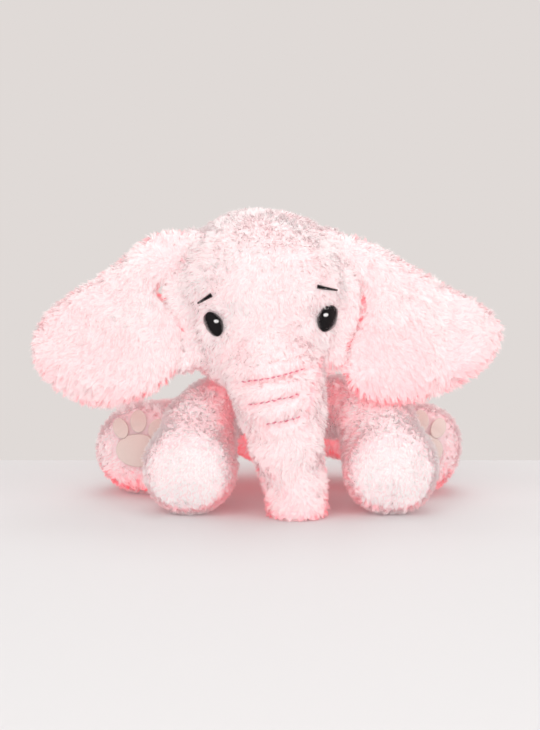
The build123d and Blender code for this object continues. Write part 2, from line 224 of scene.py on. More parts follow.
def make_materials():
    made = {f"pile_{index}": pile_material(index, tone) for index, tone in enumerate(PILE_TONES)}
    made["pale_base"] = cloth_material("pale_base", (0.94, 0.80, 0.82), (0.95, 0.86, 0.87), 1.2 * MM)
    made["pink_base"] = cloth_material("pink_base", (0.95, 0.72, 0.75), (0.96, 0.80, 0.82), 1.2 * MM)
    made["white_base"] = cloth_material("white_base", (0.96, 0.78, 0.80), (0.98, 0.88, 0.89), 1.2 * MM)
    made["satin"] = cloth_material(
        "satin", (0.72, 0.60, 0.55), (0.82, 0.72, 0.67), 0.5 * MM, roughness=0.42, bump=0.15,
        stretch=(1, 1, 6))
    made["black_thread"] = cloth_material(
        "black_thread", (0.003, 0.002, 0.003), (0.010, 0.008, 0.009), 0.3 * MM, roughness=0.65, bump=0.2)
    made["white_thread"] = cloth_material(
        "white_thread", (0.80, 0.80, 0.80), (0.95, 0.95, 0.95), 0.3 * MM, roughness=0.5, bump=0.2)
    made["pink_thread"] = cloth_material(
        "pink_thread", (0.62, 0.16, 0.24), (0.80, 0.32, 0.40), 0.4 * MM, roughness=0.7, bump=0.3)
    made["bag_cloth"] = cloth_material(
        "bag_cloth", (0.70, 0.70, 0.67), (0.86, 0.86, 0.83), 0.8 * MM, roughness=0.9, bump=0.5)
    made["pellet_plastic"] = cloth_material(
        "pellet_plastic", (0.74, 0.74, 0.72), (0.90, 0.90, 0.88), 2.5 * MM, roughness=0.45, bump=1.0)
    return made


# ---- meshes ----------------------------------------------------------------------------------------
def bake_modifiers(thing):
    """Put an object's modified shape into its own mesh."""
    graph = bpy.context.evaluated_depsgraph_get()
    old = thing.data
    made = bpy.data.meshes.new_from_object(thing.evaluated_get(graph))
    thing.modifiers.clear()
    made.name = thing.name
    thing.data = made
    bpy.data.meshes.remove(old)


def points_of(mesh):
    points = np.zeros(len(mesh.vertices) * 3)
    mesh.vertices.foreach_get("co", points)
    return points.reshape(-1, 3)


def normals_of(mesh):
    normals = np.zeros(len(mesh.vertices) * 3)
    mesh.vertices.foreach_get("normal", normals)
    return normals.reshape(-1, 3)


def set_points(mesh, points):
    mesh.vertices.foreach_set("co", points.ravel())
    mesh.update()


def unit(vectors):
    return vectors / np.maximum(np.linalg.norm(vectors, axis=-1, keepdims=True), 1e-9)


def shells_of(mesh):
    """The connected surfaces of a bmesh, as lists of their vertices."""
    left = set(mesh.verts)
    shells = []
    while left:
        edge = [left.pop()]
        shell = list(edge)
        while edge:
            near = {other for vert in edge for link in vert.link_edges for other in link.verts}
            edge = list(near & left)
            left.difference_update(edge)
            shell.extend(edge)
        shells.append(shell)
    return shells


def keep_outer_surface(thing):
    """Delete everything but the connected surface with the largest box."""
    mesh = bmesh.new()
    mesh.from_mesh(thing.data)

    def box_volume(shell):
        return float(np.prod(np.ptp([vert.co for vert in shell], axis=0)))

    keep = set(max(shells_of(mesh), key=box_volume))
    gone = [vert for vert in mesh.verts if vert not in keep]
    bmesh.ops.delete(mesh, geom=gone, context="VERTS")
    mesh.to_mesh(thing.data)
    mesh.free()


def closed_copy(name, nodes, voxel, fillers=(), outer_only=True):
    """One closed mesh round the outside of these CAD nodes and these filler balls."""
    joined = bmesh.new()
    for node in nodes:
        joined.from_mesh(frame["nodes"][node].data)
    bmesh.ops.remove_doubles(joined, verts=joined.verts, dist=1e-6)
    for centre, radius in fillers:
        bmesh.ops.create_icosphere(joined, subdivisions=4, radius=radius, matrix=Matrix.Translation(centre))
    mesh = bpy.data.meshes.new(name)
    joined.to_mesh(mesh)
    joined.free()
    thing = new_object(name, mesh)
    remesh = thing.modifiers.new("remesh", "REMESH")
    remesh.mode = "VOXEL"
    remesh.voxel_size = voxel
    bake_modifiers(thing)
    if outer_only:
        keep_outer_surface(thing)
    return thing


def smooth(thing, times):
    modifier = thing.modifiers.new("smooth", "SMOOTH")
    modifier.factor = 0.5
    modifier.iterations = times
    bake_modifiers(thing)


def subdivide(thing):
    modifier = thing.modifiers.new("subdivide", "SUBSURF")
    modifier.levels = 1
    modifier.render_levels = 1
    bake_modifiers(thing)


def shade_smooth(thing):
    thing.data.polygons.foreach_set("use_smooth", [True] * len(thing.data.polygons))


def press_in(thing, depth):
    """Move the surface inwards by depth."""
    points = points_of(thing.data) - normals_of(thing.data) * depth
    set_points(thing.data, points)


def inflate(thing, cap, pressure=4.0, frames=20):
    """Blow a closed form up as cloth, with no point moving further than cap."""
    rest = points_of(thing.data)
    cloth = thing.modifiers.new("cloth", "CLOTH")
    settings = cloth.settings
    settings.quality = 4
    settings.mass = 0.15
    settings.use_pressure = True
    settings.uniform_pressure_force = pressure
    settings.effector_weights.gravity = 0
    settings.tension_stiffness = 12
    settings.compression_stiffness = 12
    settings.bending_stiffness = 0.3
    scene = bpy.context.scene
    for number in range(1, frames + 1):
        scene.frame_set(number)
    bake_modifiers(thing)
    step = points_of(thing.data) - rest
    length = np.linalg.norm(step, axis=1, keepdims=True)
    set_points(thing.data, rest + step * np.minimum(1, cap / np.maximum(length, 1e-9)))
    scene.frame_set(1)


WAVES = 7                    # sines that add up to one uneven field


def waves(points, size, seed):
    """A smooth random vector at each point, which changes over about size metres."""
    rng = np.random.default_rng(seed)
    total = np.zeros((len(points), 3))
    for _ in range(WAVES):
        wave = rng.normal(size=3) * (2.2 / size)
        total += rng.normal(size=3) * np.sin(points @ wave + rng.uniform(0, 2 * np.pi))[:, None]
    return total / math.sqrt(WAVES / 2)


def lumps(thing, size, high, seed):
    """Uneven stuffing: the surface swells and sinks by about high."""
    points = points_of(thing.data)
    swell = waves(points, size, seed)[:, :1] * high
    set_points(thing.data, points + normals_of(thing.data) * swell)


def tree_of(things):
    """One search tree for the surfaces of several objects."""
    points, faces = [], []
    for thing in things:
        first = len(points)
        points.extend(map(tuple, points_of(thing.data)))
        faces.extend(tuple(first + index for index in face.vertices) for face in thing.data.polygons)
    return BVHTree.FromPolygons(points, faces)


def faces_kept(thing, name, keep):
    """A copy of an object with only the faces whose centre and normal pass keep."""
    mesh = bmesh.new()
    mesh.from_mesh(thing.data)
    centres = np.array([face.calc_center_median() for face in mesh.faces])
    normals = np.array([face.normal for face in mesh.faces])
    stays = keep(centres, normals)
    gone = [face for face, stay in zip(mesh.faces, stays) if not stay]
    bmesh.ops.delete(mesh, geom=gone, context="FACES")
    copy = bpy.data.meshes.new(name)
    mesh.to_mesh(copy)
    mesh.free()
    return new_object(name, copy)


# ---- pile --------------------------------------------------------------------------------------------
RINGS = 2                    # cross-sections of a strand before its tip
SKIN_SHADING = 0.86          # how far a strand is shaded as the surface that it grows from
OPEN = 0.38                  # pile that is shut in less than this gets no painted shade


TUFTS = 15.0                 # on a square centimetre
STRANDS = 11                 # in a tuft
TUFT_R = 1.7 * MM            # at its root
LEAN = 42                    # degrees that a strand leans from straight up
TUFT_LEAN = 11               # how unevenly tufts lean
STRAND_LEAN = 8              # and the strands of one tuft
SWING = 0.22                 # how far strands turn from the way that their tuft lies
TWIST = 0.35                 # how far a strand's blade turns about its length
GATHER = 0.55                # how far the tips of a tuft draw together
BLADE = 0.42 * MM            # width of a strand
ROOT_DEPTH = 0.5 * MM        # how far a strand starts under the skin
RAYS = 7                     # that feel how shut in a tuft is, for its painted shade
RAY_START = 5 * MM           # over the skin, near the tips
RAY_LEAN = 1.5               # how strongly the rays keep to the way that the skin faces
UNDERNEATH = 0.8             # how much less painted shade the pile gets where it faces the floor


class Coat:
    """How a stretch of pile grows."""

    def __init__(self, tone, pile=5.8, root=0.6, painted_shade=6.0):
        self.pile = pile * MM        # length of a strand
        self.tone = tone             # the tone of a tip, as a place in PILE_TONES
        self.root = root             # how many tones deeper the root is
        self.painted_shade = painted_shade           # painted shade: how many tones deeper the pile is made where it is wholly shut in


def scatter(mesh, per_cm2, rng):
    """Evenly random points of a mesh, with its smooth normal at each."""
    mesh.calc_loop_triangles()
    corners = np.zeros(len(mesh.loop_triangles) * 3, int)
    mesh.loop_triangles.foreach_get("vertices", corners)
    corners = corners.reshape(-1, 3)
    points, normals = points_of(mesh), normals_of(mesh)
    a, b, c = (points[corners[:, k]] for k in range(3))
    area = np.linalg.norm(np.cross(b - a, c - a), axis=1) / 2
    total = np.cumsum(area)
    count = int(total[-1] * 1e4 * per_cm2)
    pick = np.searchsorted(total, (np.arange(count) + rng.random(count)) / count * total[-1])
    pick = np.minimum(pick, len(area) - 1)
    s = np.sqrt(rng.random(count))[:, None]
    t = rng.random(count)[:, None]
    share = (1 - s, s * (1 - t), s * t)
    where = sum(w * points[corners[pick, k]] for k, w in enumerate(share))
    normal = unit(sum(w * normals[corners[pick, k]] for k, w in enumerate(share)))
    return where, normal


def covered(points, normals, tree):
    """Which points lie inside another part of a tree, so that they never show."""
    hidden = np.zeros(len(points), bool)
    for index, (point, normal) in enumerate(zip(points, normals)):
        ray = Vector(normal)
        face = tree.ray_cast(Vector(point) + ray * (0.5 * MM), ray, REACH)[1]
        hidden[index] = face is not None and face.dot(ray) > 0
    return hidden


def shade(points, normals, rng):
    """How much of each point's view outwards other parts block, from 0 to 1."""
    blocked = np.zeros(len(points))
    for index, (point, normal) in enumerate(zip(points, normals)):
        start = Vector(point) + Vector(normal) * RAY_START
        for direction in unit(rng.normal(size=(RAYS, 3)) + normal * RAY_LEAN):
            if BODY_TREE.ray_cast(start, Vector(direction), REACH)[0] is not None:
                blocked[index] += 1 / RAYS
    return blocked


def across(vectors, normals):
    """The part of each vector that lies along the surface."""
    return vectors - normals * np.sum(vectors * normals, axis=1, keepdims=True)


def strands_of(where, normal, flow, tone, stretch, coat, rng):
    """Every strand's cross-sections, tip and tones, tuft by tuft."""
    tufts, each = len(where), STRANDS
    lie = unit(across(flow, normal) + 1e-6)
    aside = np.cross(normal, lie)
    turn = rng.random((tufts, each, 1)) * 2 * np.pi
    out = np.sqrt(rng.random((tufts, each, 1))) * TUFT_R
    offset = (lie[:, None] * np.cos(turn) + aside[:, None] * np.sin(turn)) * out
    root = where[:, None] + offset - normal[:, None] * ROOT_DEPTH
    length = coat.pile * stretch[:, None, None] * rng.uniform(0.8, 1.15, (tufts, 1, 1))
    length = length * rng.uniform(0.72, 1.08, (tufts, each, 1))
    lean = LEAN + rng.normal(0, TUFT_LEAN, (tufts, 1, 1)) + rng.normal(0, STRAND_LEAN, (tufts, each, 1))
    lean = np.radians(lean)
    swing = rng.normal(0, SWING, (tufts, each, 1))
    heading = unit(lie[:, None] + aside[:, None] * swing)
    upright = normal[:, None]
    tip = root + length * (upright * np.cos(lean) + heading * np.sin(lean)) - offset * GATHER
    knee_lean = lean * 0.45
    knee = root + length * 0.55 * (upright * np.cos(knee_lean) + heading * np.sin(knee_lean))
    knee = knee - offset * 0.15
    blade = unit(np.cross(tip - root, upright) + rng.normal(0, TWIST, (tufts, each, 3)) * length)
    rings = []
    for ring in range(RINGS):
        t = ring / RINGS
        middle = root * (1 - t) ** 2 + knee * 2 * t * (1 - t) + tip * t ** 2
        half = BLADE / 2 * (1 - 0.75 * t ** 1.5)
        rings.extend((middle - blade * half, middle + blade * half))
    corners = np.stack(rings + [tip], axis=2).reshape(-1, 2 * RINGS + 1, 3)
    strand_tone = tone[:, None] + rng.normal(0, 0.2, (tufts, 1)) + rng.normal(0, 0.25, (tufts, each))
    outward = np.repeat(normal, each, axis=0)
    return corners, strand_tone.ravel(), outward


def pile_mesh(name, corners, tones, outward, root_tone):
    """Blades from strands: quads up to the last ring, then a pointed end, facing outwards."""
    count = len(corners)
    per = 2 * RINGS + 1
    normal = np.cross(corners[:, 1] - corners[:, 0], corners[:, 2] - corners[:, 0])
    flip = np.sum(normal * outward, axis=1) < 0
    normal[flip] *= -1
    pairs = corners[:, :-1].reshape(count, RINGS, 2, 3)
    pairs[flip] = pairs[flip][:, :, ::-1]
    corners[:, :-1] = pairs.reshape(count, per - 1, 3)
    facing = unit(outward * SKIN_SHADING + unit(normal) * (1 - SKIN_SHADING))
    corners[:, :, 2] = np.maximum(corners[:, :, 2], FLOOR_CLEAR)
    loops, sizes, steps = [], [], []
    for ring in range(RINGS - 1):
        low = 2 * ring
        loops += [low, low + 1, low + 3, low + 2]
        sizes.append(4)
        steps.append(1 - ring / max(RINGS - 1, 1))
    low = 2 * (RINGS - 1)
    loops += [low, low + 1, low + 2]
    sizes.append(3)
    steps.append(0.0)
    every = (np.arange(count)[:, None] * per + np.array(loops)[None]).ravel()
    totals = np.tile(sizes, count)
    starts = np.concatenate(([0], np.cumsum(totals)[:-1]))
    mesh = bpy.data.meshes.new(name)
    mesh.vertices.add(count * per)
    mesh.vertices.foreach_set("co", corners.astype(np.float32).ravel())
    mesh.loops.add(len(every))
    mesh.loops.foreach_set("vertex_index", every.astype(np.int32))
    mesh.polygons.add(len(totals))
    mesh.polygons.foreach_set("loop_start", starts.astype(np.int32))
    level = tones[:, None] + np.array(steps)[None] * root_tone
    level = np.clip(np.rint(level), 0, len(PILE_TONES) - 1).astype(np.int32)
    mesh.polygons.foreach_set("material_index", level.ravel())
    mesh.polygons.foreach_set("use_smooth", np.ones(len(totals), bool))
    for index in range(len(PILE_TONES)):
        mesh.materials.append(MATERIALS[f"pile_{index}"])
    mesh.update(calc_edges=True)
    mesh.normals_split_custom_set_from_vertices(np.repeat(facing, per, axis=0))
    return mesh


def grow(name, skin, coat, flow, seed, keep=None, tone=None, stretch=None, inside=None):
    """Pile on a skin. flow, keep, tone and stretch are functions of the points and normals.

    No pile grows inside the parts of the tree called inside, which is BODY_TREE unless it is given.
    """
    rng = np.random.default_rng(seed)
    where, normal = scatter(skin.data, TUFTS, rng)
    if keep is not None:
        stays = keep(where, normal) > rng.random(len(where))
        where, normal = where[stays], normal[stays]
    seen = ~covered(where, normal, inside or BODY_TREE)
    where, normal = where[seen], normal[seen]
    lie = flow(where, normal)
    lie = lie + waves(where, 16 * MM, seed + 1) * 0.45 + waves(where, 5 * MM, seed + 2) * 0.35
    tips = np.full(len(where), coat.tone) + waves(where, 22 * MM, seed + 3)[:, 0] * 0.25
    # Painted shade: pile that other parts or the floor shut in is made deeper pink, less so where it faces
    # down.
    shut_in = np.clip((shade(where, normal, rng) - OPEN) / (1 - OPEN), 0, 1) ** 1.5
    underneath = np.clip((-normal[:, 2] - 0.8) / 0.15, 0, 1)
    tips = tips + shut_in * coat.painted_shade * (1 - UNDERNEATH * underneath)
    if tone is not None:
        tips = tips + tone(where, normal)
    longer = np.ones(len(where)) if stretch is None else stretch(where, normal)
    corners, tones, outward = strands_of(where, normal, lie, tips, longer, coat, rng)
    mesh = pile_mesh(name, corners, tones, outward, coat.root)
    print(name, len(corners), "strands")
    return new_object(name, mesh)


# ---- embroidery and stitches ---------------------------------------------------------------------
THREAD_SIDES = 5             # points across the round top of a thread


def threads(name, paths, normals, width, material):
    """Half-round threads along rows of points, standing up along the normals, with round ends."""
    paths, normals = np.asarray(paths), np.asarray(normals)
    side = unit(np.cross(np.gradient(paths, axis=1), normals))
    rows, steps = paths.shape[:2]
    swell = (np.sin(np.linspace(0.05, np.pi - 0.05, steps)) ** 0.4)[None, :, None] * width / 2
    ring = [paths + (side * math.cos(turn) + normals * math.sin(turn)) * swell
            for turn in np.linspace(0, np.pi, THREAD_SIDES)]
    corners = np.stack(ring, axis=2).reshape(-1, 3)
    faces = []
    for row in range(rows):
        for step in range(steps - 1):
            for across_it in range(THREAD_SIDES - 1):
                low = (row * steps + step) * THREAD_SIDES + across_it
                faces.append((low, low + THREAD_SIDES, low + THREAD_SIDES + 1, low + 1))
    mesh = bpy.data.meshes.new(name)
    mesh.from_pydata([tuple(corner) for corner in corners], [], faces)
    mesh.materials.append(MATERIALS[material])
    thing = new_object(name, mesh)
    shade_smooth(thing)
    return thing


def seen_from_front(tree, points, lift):
    """Where lines along Y through (X, Z) points first meet a surface, moved out by lift.

    Returns those places and the surface's normals there.
    """
    places, normals = [], []
    for x, z in points:
        place, normal, _, _ = tree.ray_cast(Vector((x, -1, z)), Vector((0, 1, 0)))
        places.append(np.array(place) + np.array(normal) * lift)
        normals.append(np.array(normal))
    return places, normals


def flat_shape(node):
    """A node seen from the front: its middle, its long and short directions, and its half lengths."""
    points = points_of(frame["nodes"][node].data)[:, [0, 2]]
    middle = (points.min(axis=0) + points.max(axis=0)) / 2
    _, _, directions = np.linalg.svd(points - points.mean(axis=0), full_matrices=False)
    long, short = directions
    half = np.abs((points - middle) @ directions.T).max(axis=0)
    return middle, long, short, half


def satin_stitch(name, node, tree, lift, width, material, taper=None, share=1.0):
    """Rows of thread side by side across a node's shape, an oval unless taper gives its half width."""
    middle, long, short, half = flat_shape(node)
    half = half * share
    if taper is None:
        def taper(t):
            return math.sqrt(max(1 - t * t, 0.02))
    count = int(2 * half[0] / (width * 0.8))
    paths, normals = [], []
    for index in range(count):
        t = 2 * (index + 0.5) / count - 1
        reach = half[1] * taper(t)
        row = [middle + long * half[0] * t + short * reach * step for step in np.linspace(-1, 1, 7)]
        places, ways = seen_from_front(tree, row, lift)
        paths.append(places)
        normals.append(ways)
    return threads(name, paths, normals, width, material)


def stitch_line(name, ends, tree, lift, width, length, gap):
    """Separate stitches on a surface, in lines between pairs of (X, Z) points."""
    paths, normals = [], []
    for start, end in ends:
        whole = np.linalg.norm(end - start)
        way = (end - start) / whole
        for begin in np.arange(0, whole - length, length + gap):
            row = [start + way * (begin + step) for step in np.linspace(0, length, 5)]
            places, ways = seen_from_front(tree, row, lift)
            paths.append(places)
            normals.append(ways)
    return threads(name, paths, normals, width, "pink_thread")


# ---- the parts -----------------------------------------------------------------------------------------
EAR_ROOT_HALF = 20 * MM      # half the length of an ear's root
EAR_ROOT_R = 7.5 * MM
NECK_R = 34 * MM
SHOULDER_R = 27 * MM
HIP_R = 30 * MM
TAIL_R = 6.5 * MM


def joint_of(name):
    return next(joint for joint in frame["joints"] if joint["name"] == name)


def pivot(name):
    return Vector(joint_of(name)["pos_m"])


def finish_skin(thing, material, body, nodes):
    shade_smooth(thing)
    thing.data.materials.clear()
    thing.data.materials.append(MATERIALS[material])
    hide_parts(*nodes)
    if body:
        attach(thing, body)


def in_oval(points, node):
    """How far out each point is from a node's middle, seen from the front: 1 is on its edge."""
    low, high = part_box(node)
    middle = (low + high) / 2
    half = (high - low) / 2
    return np.hypot((points[:, 0] - middle.x) / half.x, (points[:, 2] - middle.z) / half.z)


def near_nodes(points, nodes, distance):
    """Which points have one of these nodes within a distance."""
    tree = tree_of([frame["nodes"][node] for node in nodes])
    return np.array([tree.find_nearest(Vector(point), distance)[0] is not None for point in points])


CHEEK_FALL = Vector((-11, -10, -68)) * MM    # from the low end of the left ear's root down the cheek


def ear_roots():
    """Balls along the line that each ear is sewn on, and on down the cheek that it rests on."""
    balls = []
    for side in SIDES:
        line = Vector(joint_of(f"ear_{side}_flap")["axis"])
        line *= -1 if line.z > 0 else 1
        middle = pivot(f"ear_{side}_flap")
        for step in np.linspace(-EAR_ROOT_HALF, EAR_ROOT_HALF, 9):
            balls.append((middle + line * step, EAR_ROOT_R))
        inwards = Vector((-1 if side == "right" else 1, 1, 1))
        for step in np.linspace(0, 1, 9):
            place = middle + line * EAR_ROOT_HALF + CHEEK_FALL * inwards * step
            balls.append((place, EAR_ROOT_R * (1 + 0.3 * step)))
    return balls


CHEEK_PUFF = 5 * MM          # how far the cheeks swell out towards the ears
CHEEK_HALF = 38 * MM


def puff_cheeks(skin):
    """Swell the sides of the head at the height of the trunk's root, where the ears lie against it."""
    points, normals = points_of(skin.data), normals_of(skin.data)
    level = pivot("trunk_lift").z + CHEEK_HALF / 2
    sideways = np.clip((np.abs(normals[:, 0]) - 0.7) / 0.25, 0, 1)
    swell = np.exp(-((points[:, 2] - level) / CHEEK_HALF) ** 2) * sideways
    set_points(skin.data, points + normals * (swell * CHEEK_PUFF)[:, None])


def make_head():
    nodes = ["head_skin", "head_stuffing"]
    trunk_r = pivot("trunk_lift").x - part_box("trunk_upper_skin")[0].x
    fillers = [(pivot("trunk_lift"), trunk_r), (pivot("head_nod"), NECK_R)] + ear_roots()
    skin = closed_copy("head_plush", nodes, 4 * MM, fillers)
    smooth(skin, 6)
    press_in(skin, SKIN_INSET * 0.8)
    puff_cheeks(skin)
    lumps(skin, 45 * MM, 0.8 * MM, 11)
    subdivide(skin)
    finish_skin(skin, "pale_base", "head", nodes)
    return skin


def fold_lines():
    """The two ends of each stitched fold across the trunk, as (X, Z)."""
    mesh = bmesh.new()
    mesh.from_mesh(frame["nodes"]["trunk_wrinkle_stitches"].data)
    bmesh.ops.remove_doubles(mesh, verts=mesh.verts, dist=1e-6)
    lines = []
    for shell in shells_of(mesh):
        points = np.array([vert.co for vert in shell])[:, [0, 2]]
        order = np.argsort(points[:, 0])
        lines.append((points[order[:8]].mean(axis=0), points[order[-8:]].mean(axis=0)))
    mesh.free()
    return lines


def fold_places(points, normals):
    """For each fold: how far above it each point is, and how much the point belongs to it."""
    front = np.clip(-normals[:, 1] * 2, 0, 1)
    found = []
    for start, end in FOLDS:
        whole = np.linalg.norm(end - start)
        way = (end - start) / whole
        offset = points[:, [0, 2]] - start
        along = offset @ way / whole
        above = offset @ np.array([-way[1], way[0]])
        inside = np.clip(1.35 - np.abs(along - 0.5) * 2 * 0.9, 0, 0.6) / 0.6
        found.append((above, inside * front))
    return found


FOLD_DEPTH = 2.4 * MM
FOLD_HALF = 2.6 * MM         # half the width of a fold's groove
PUFF = 1.3 * MM              # how far the padding bulges on each side of a fold
PUFF_FROM = 7.5 * MM


def press_folds(skin):
    points, normals = points_of(skin.data), normals_of(skin.data)
    move = np.zeros(len(points))
    for above, belongs in fold_places(points, normals):
        groove = np.exp(-(above / FOLD_HALF) ** 2) * FOLD_DEPTH
        puff = np.exp(-((np.abs(above) - PUFF_FROM) / (PUFF_FROM / 2)) ** 2) * PUFF
        move += (puff - groove) * belongs
    set_points(skin.data, points + normals * move[:, None])


def make_trunk():
    nodes = [f"trunk_{part}_{layer}" for part in ("upper", "lower") for layer in ("skin", "stuffing")]
    skin = closed_copy("trunk_plush", nodes, 3 * MM)
    smooth(skin, 10)
    press_in(skin, SKIN_INSET * 0.3)
    lumps(skin, 30 * MM, 0.6 * MM, 21)
    subdivide(skin)
    press_folds(skin)
    finish_skin(skin, "pale_base", None, nodes)
    return skin


PAW_BRIDGE = (((-3, 25, 23), 27), ((-9, 42, 34), 29))    # mm from the middle of the left pad, and radius


def paw_bridge(side):
    """Balls that carry the top of a front paw smoothly on into its leg."""
    middle = sum(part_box(f"paw_pad_{side}"), Vector()) / 2
    sign = 1 if side == "left" else -1
    balls = []
    for (x, y, z), radius in PAW_BRIDGE:
        balls.append((middle + Vector((x * sign, y, z)) * MM, radius * MM))
    return balls


def make_leg(which, side, seed):
    """A leg's skin; a front one is in two pieces, the second its white paw pad."""
    nodes = [f"{which}_leg_{side}_skin", f"{which}_leg_{side}_stuffing"]
    pad_node = f"paw_pad_{side}"
    body = f"{which}_leg_{side}"
    if which == "front":
        whole = closed_copy(f"{body}_plush", nodes + [pad_node], 4 * MM, paw_bridge(side))
    else:
        whole = closed_copy(f"{body}_plush", nodes, 4 * MM)
    smooth(whole, 14)
    press_in(whole, SKIN_INSET * 0.5)
    inflate(whole, 2 * MM)
    lumps(whole, 30 * MM, 0.7 * MM, seed)
    subdivide(whole)
    if which == "hind":
        finish_skin(whole, "pink_base", body, nodes)
        return [whole]
    middle_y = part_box(pad_node)[1].y

    def on_pad(points, normals):
        return (in_oval(points, pad_node) < 1) & (points[:, 1] < middle_y)

    skin = faces_kept(whole, f"{body}_skin_plush", lambda points, normals: ~on_pad(points, normals))
    pad = faces_kept(whole, f"{body}_pad_plush", on_pad)
    bpy.data.objects.remove(whole)
    finish_skin(skin, "pink_base", body, nodes)
    finish_skin(pad, "white_base", body, [pad_node])
    return [skin, pad]


def make_torso():
    nodes = ["torso_skin", "torso_stuffing"]
    fillers = [(pivot(f"front_leg_{side}_splay"), SHOULDER_R) for side in SIDES]
    fillers += [(pivot(f"hind_leg_{side}_splay"), HIP_R) for side in SIDES]
    fillers += [(pivot("tail_wag"), TAIL_R)]
    skin = closed_copy("torso_plush", nodes, 4 * MM, fillers)
    smooth(skin, 5)
    press_in(skin, SKIN_INSET)
    lumps(skin, 40 * MM, 0.9 * MM, 41)
    subdivide(skin)
    finish_skin(skin, "pink_base", "torso", nodes)
    return skin


def make_ear(side, seed):
    """An ear's front and back panels, blown up together and parted at the seam round the rim."""
    front, back, batting = (f"ear_{side}_{layer}" for layer in ("front_panel", "back_panel", "batting"))
    whole = closed_copy(f"ear_{side}_plush", [front, back, batting], 3.4 * MM)
    smooth(whole, 2)
    press_in(whole, SKIN_INSET * 0.45)
    inflate(whole, 3.5 * MM)
    lumps(whole, 35 * MM, 0.7 * MM, seed)
    subdivide(whole)
    trees = [tree_of([frame["nodes"][node]]) for node in (front, back)]

    def in_front(points, normals):
        gaps = [[tree.find_nearest(Vector(point))[3] for point in points] for tree in trees]
        return np.array(gaps[0]) <= np.array(gaps[1])

    panels = {
        "front": faces_kept(whole, f"ear_{side}_front", in_front),
        "back": faces_kept(whole, f"ear_{side}_back", lambda points, normals: ~in_front(points, normals)),
    }
    bpy.data.objects.remove(whole)
    finish_skin(panels["front"], "pale_base", f"ear_{side}", [front, batting])
    finish_skin(panels["back"], "pink_base", f"ear_{side}", [back])
    return panels


def make_tail():
    tube = closed_copy("tail_plush", ["tail_tube", "tail_tuft"], 1.6 * MM)
    smooth(tube, 3)
    press_in(tube, 1.2 * MM)
    finish_skin(tube, "pink_base", "tail", ["tail_tube", "tail_tuft"])
    return tube


def make_soles(side):
    """The puffy satin sole and toes of a hind foot."""
    for node in (f"sole_pad_{side}", f"toe_pads_{side}"):
        pad = closed_copy(f"{node}_satin", [node], 0.6 * MM, outer_only=False)
        smooth(pad, 4)
        inflate(pad, 1.0 * MM, pressure=3.0, frames=8)
        finish_skin(pad, "satin", f"hind_leg_{side}", [node])


EYE_LIFT = 2.4 * MM          # over the woven base, a little under the tips of the pile
BROW_LIFT = 3.0 * MM
SPOT_LIFT = EYE_LIFT + 0.35 * MM
SPOT_SHARE = 0.8             # of its node's size
THREAD_WIDTH = 0.6 * MM


def sew(thing, node, body):
    """Let embroidery take the place of the node that stands in for it."""
    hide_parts(node)
    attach(thing, body)


def make_face():
    head_tree = tree_of([head])
    for side in SIDES:
        eye = satin_stitch(f"eye_{side}_stitches", f"eye_{side}", head_tree,
                           EYE_LIFT, THREAD_WIDTH, "black_thread")
        sew(eye, f"eye_{side}", "head")
        spot = satin_stitch(f"highlight_{side}_stitches", f"eye_highlight_{side}", head_tree,
                            SPOT_LIFT, THREAD_WIDTH, "white_thread", share=SPOT_SHARE)
        sew(spot, f"eye_highlight_{side}", "head")
        inner_end = -1 if (flat_shape(f"brow_{side}")[1][0] > 0) == (side == "left") else 1

        def brow_taper(t, inner_end=inner_end):
            return 0.8 + 0.35 * t * inner_end

        brow = satin_stitch(f"brow_{side}_stitches", f"brow_{side}", head_tree, BROW_LIFT, THREAD_WIDTH,
                            "black_thread", brow_taper)
        sew(brow, f"brow_{side}", "head")


# ---- which way the pile lies -----------------------------------------------------------------------
DOWN = np.array([0, 0, -1.0])
FACE_TRIM = [f"{kind}_{side}" for kind in ("eye", "brow") for side in SIDES]
TRIM = -0.4 * MM             # the pile is trimmed this far round embroidery
BARE = SKIN_INSET + 0.1 * MM     # the pile keeps clear of satin that is nearer than this


def head_flow(points, normals):
    """Down and outwards from the crown, and away from each eye."""
    centre = np.array(sum(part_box("head_skin"), Vector()) / 2)
    flow = unit(points - centre - np.array([0, 0, 0.05])) + DOWN * 0.5
    for side in SIDES:
        middle, _, _, half = flat_shape(f"eye_{side}")
        away = (points[:, [0, 2]] - middle) / half.mean()
        far = np.linalg.norm(away, axis=1)
        pull = 1.3 * np.exp(-((far - 1) / 0.6) ** 2) * (normals[:, 1] < 0)
        flow[:, [0, 2]] += away / np.maximum(far, 0.1)[:, None] * pull[:, None]
    return flow


MUZZLE_SEAM = ((-20, 16), (-33, 10), (-38, -3), (-35, -14))     # X and Z in mm from the trunk's root
TRUNK_SEAM = ((40, 1), (30, -32), (28, -48), (29, -60))
SEAM_HALF = 1.3 * MM


def seam_share(points, normals, line):
    """1 on a sewn seam, given in mm from the trunk's root, falling to 0 on both sides."""
    root = pivot("trunk_lift")
    corners = [np.array([root.x, root.z]) + np.array(corner) * MM for corner in line]
    gaps = []
    for start, end in zip(corners, corners[1:]):
        along = np.clip((points[:, [0, 2]] - start) @ (end - start) / ((end - start) @ (end - start)), 0, 1)
        gaps.append(np.linalg.norm(points[:, [0, 2]] - start - along[:, None] * (end - start), axis=1))
    return np.exp(-(np.min(gaps, axis=0) / SEAM_HALF) ** 2) * (normals[:, 1] < 0)


def head_tone(points, normals):
    return 1.6 * seam_share(points, normals, MUZZLE_SEAM)


def off_the_face(points, normals):
    """No pile under the embroidery, and less along the muzzle's seam."""
    clear = 1 - 0.6 * seam_share(points, normals, MUZZLE_SEAM)
    for node in FACE_TRIM:
        middle, long, short, half = flat_shape(node)
        offset = points[:, [0, 2]] - middle
        out = np.hypot(offset @ long / (half[0] + TRIM), offset @ short / (half[1] + TRIM))
        clear[(out < 1) & (normals[:, 1] < 0)] = 0
    return clear


def steady(*direction):
    """Pile that lies the same way everywhere."""
    return lambda points, normals: np.tile(direction, (len(points), 1))


